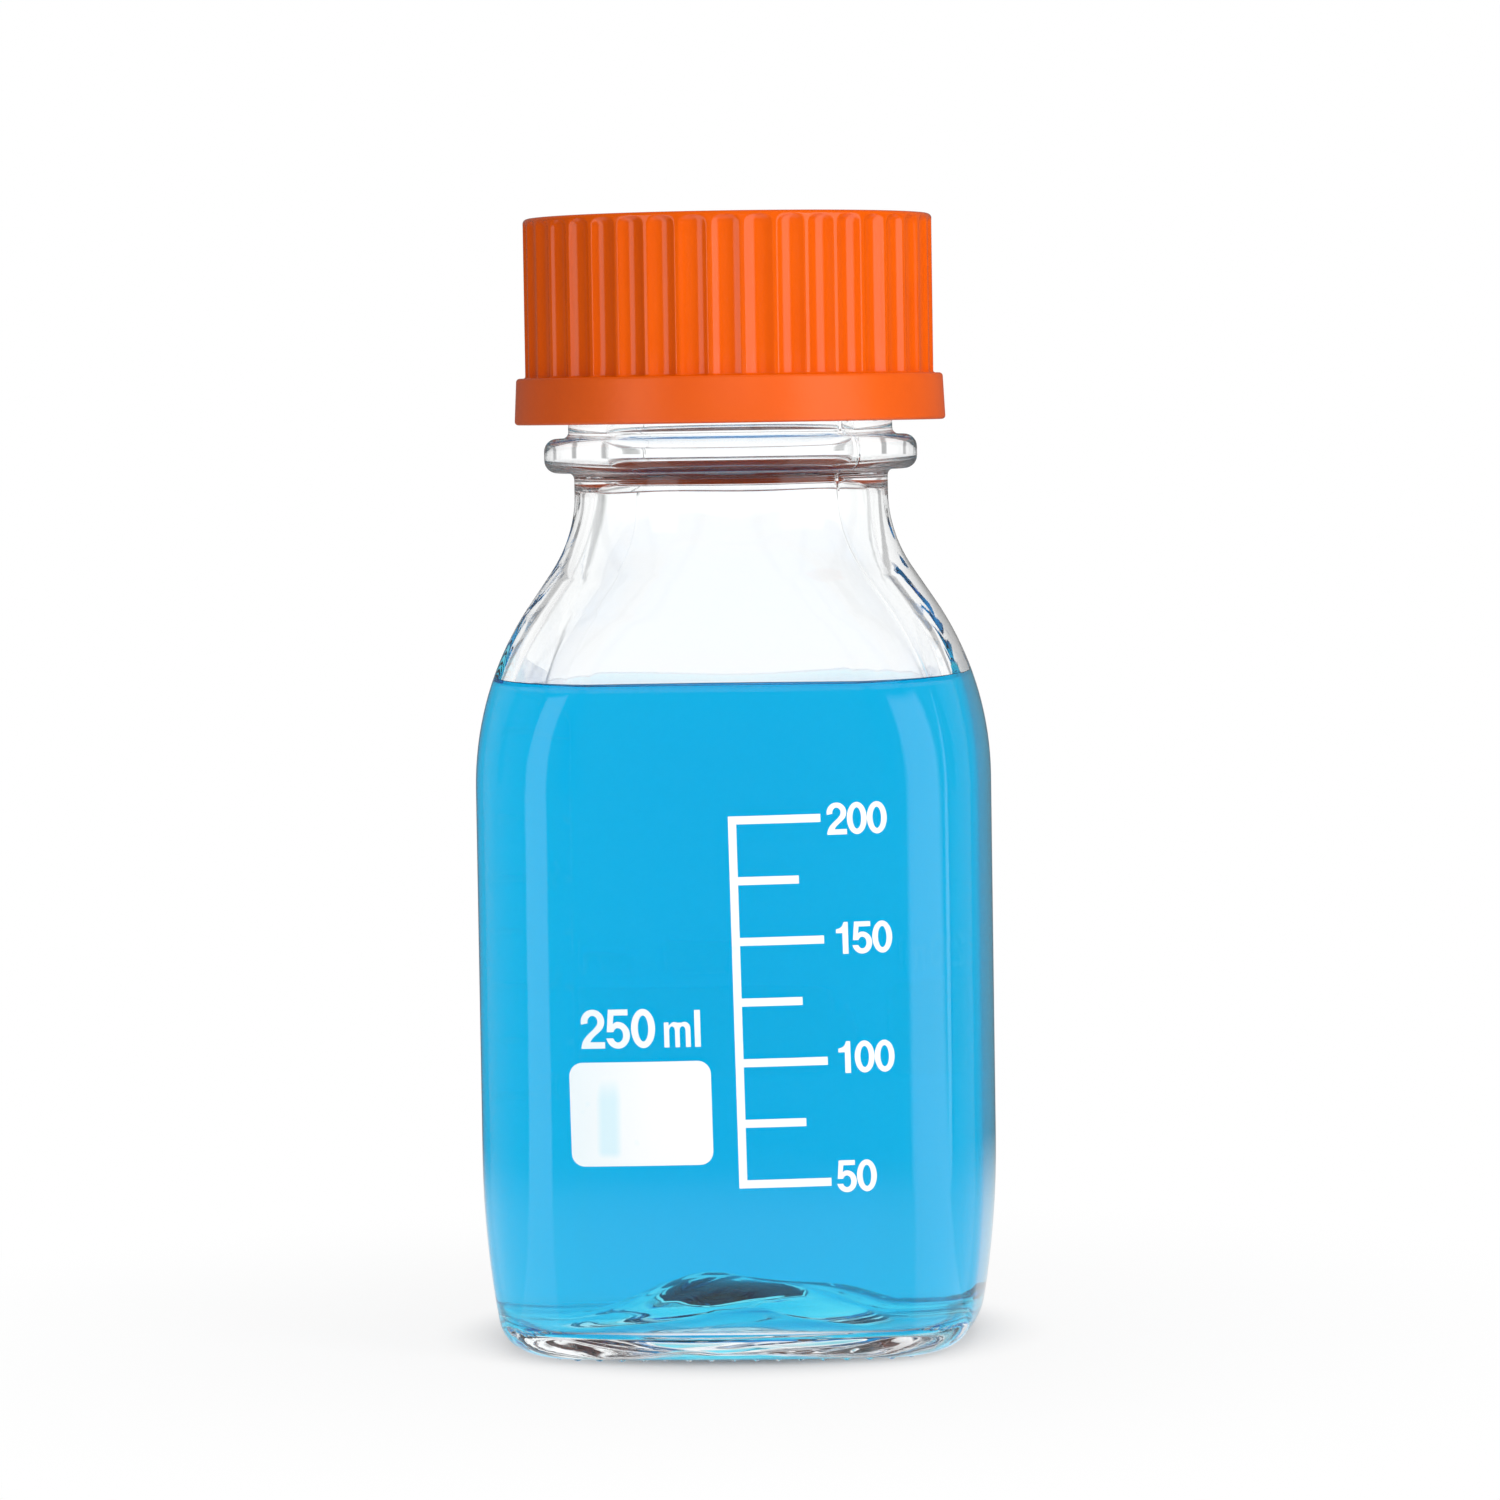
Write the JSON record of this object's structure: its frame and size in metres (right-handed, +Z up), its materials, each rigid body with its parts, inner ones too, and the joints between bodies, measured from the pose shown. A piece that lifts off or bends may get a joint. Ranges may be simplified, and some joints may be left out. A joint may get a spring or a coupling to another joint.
{
  "type": "square media bottle",
  "caption": "Square clear glass media bottle with rounded shoulder, neck bead, white scale and marking field, blue liquid and a fluted orange screw cap.",
  "frame": {"origin": "on the surface the bottle stands on, on the axis of the neck", "axes": "+Z up along the neck, the printed panel faces -Y, +X to the right of the print"},
  "size_m": [0.064, 0.0641, 0.14],
  "materials": {
    "clear_glass": "clear and glossy",
    "orange_plastic": "moulded, satin to glossy",
    "white_silicone": "matte",
    "blue_liquid": "clear liquid",
    "white_enamel": "fired enamel print"
  },
  "bodies": {
    "bottle": {"bottle": "clear_glass", "pouring_ring": "orange_plastic", "liquid": "blue_liquid", "scale_marks": "white_enamel", "marking_field": "white_enamel"},
    "liner": {"seal_liner": "white_silicone"},
    "cap": {"screw_cap": "orange_plastic"}
  },
  "joints": [
    {"name": "cap_rise", "type": "slide", "parent": "bottle", "child": "liner", "axis": [0, 0, 1], "range_m": [0, 0.008]},
    {"name": "cap_turn", "type": "hinge", "parent": "liner", "child": "cap", "pos_m": [0, 0, 0.127], "axis": [0, 0, 1], "range_deg": [0, 720]}
  ],
  "couplings": [
    {"joint": "cap_rise", "follows": "cap_turn", "m_per_rad": 0.0006366}
  ]
}
